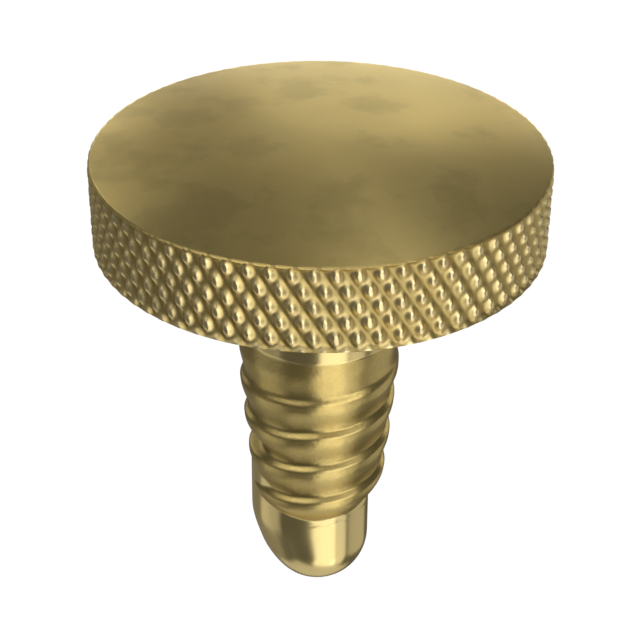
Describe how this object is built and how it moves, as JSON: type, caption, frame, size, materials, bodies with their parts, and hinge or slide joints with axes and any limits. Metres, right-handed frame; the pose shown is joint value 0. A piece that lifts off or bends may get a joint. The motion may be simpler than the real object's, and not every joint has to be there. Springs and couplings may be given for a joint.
{
  "type": "knurled thumbscrew",
  "caption": "Brass thumbscrew with a crowned, diamond-knurled disc head and a coarse, round-crested, tapered right-hand thread that ends in a smooth bullet nose.",
  "frame": {"origin": "on the screw's axis, in the plane of the head's flat underside", "axes": "+Z along the screw's axis, out through the crowned face of the head; -Z runs down the shank to the nose; the thread's swelling at the nose is on the -X side"},
  "size_m": [0.0254, 0.0254, 0.0301],
  "materials": {
    "head_brass": "satin turned face with fine concentric lathe marks, cut knurl with bright points and dark valleys",
    "shank_brass": "satin aged thread with darker grooves, polished shoulder and nose"
  },
  "bodies": {
    "root": {"knurled_head": "head_brass", "threaded_shank": "shank_brass"}
  },
  "joints": []
}
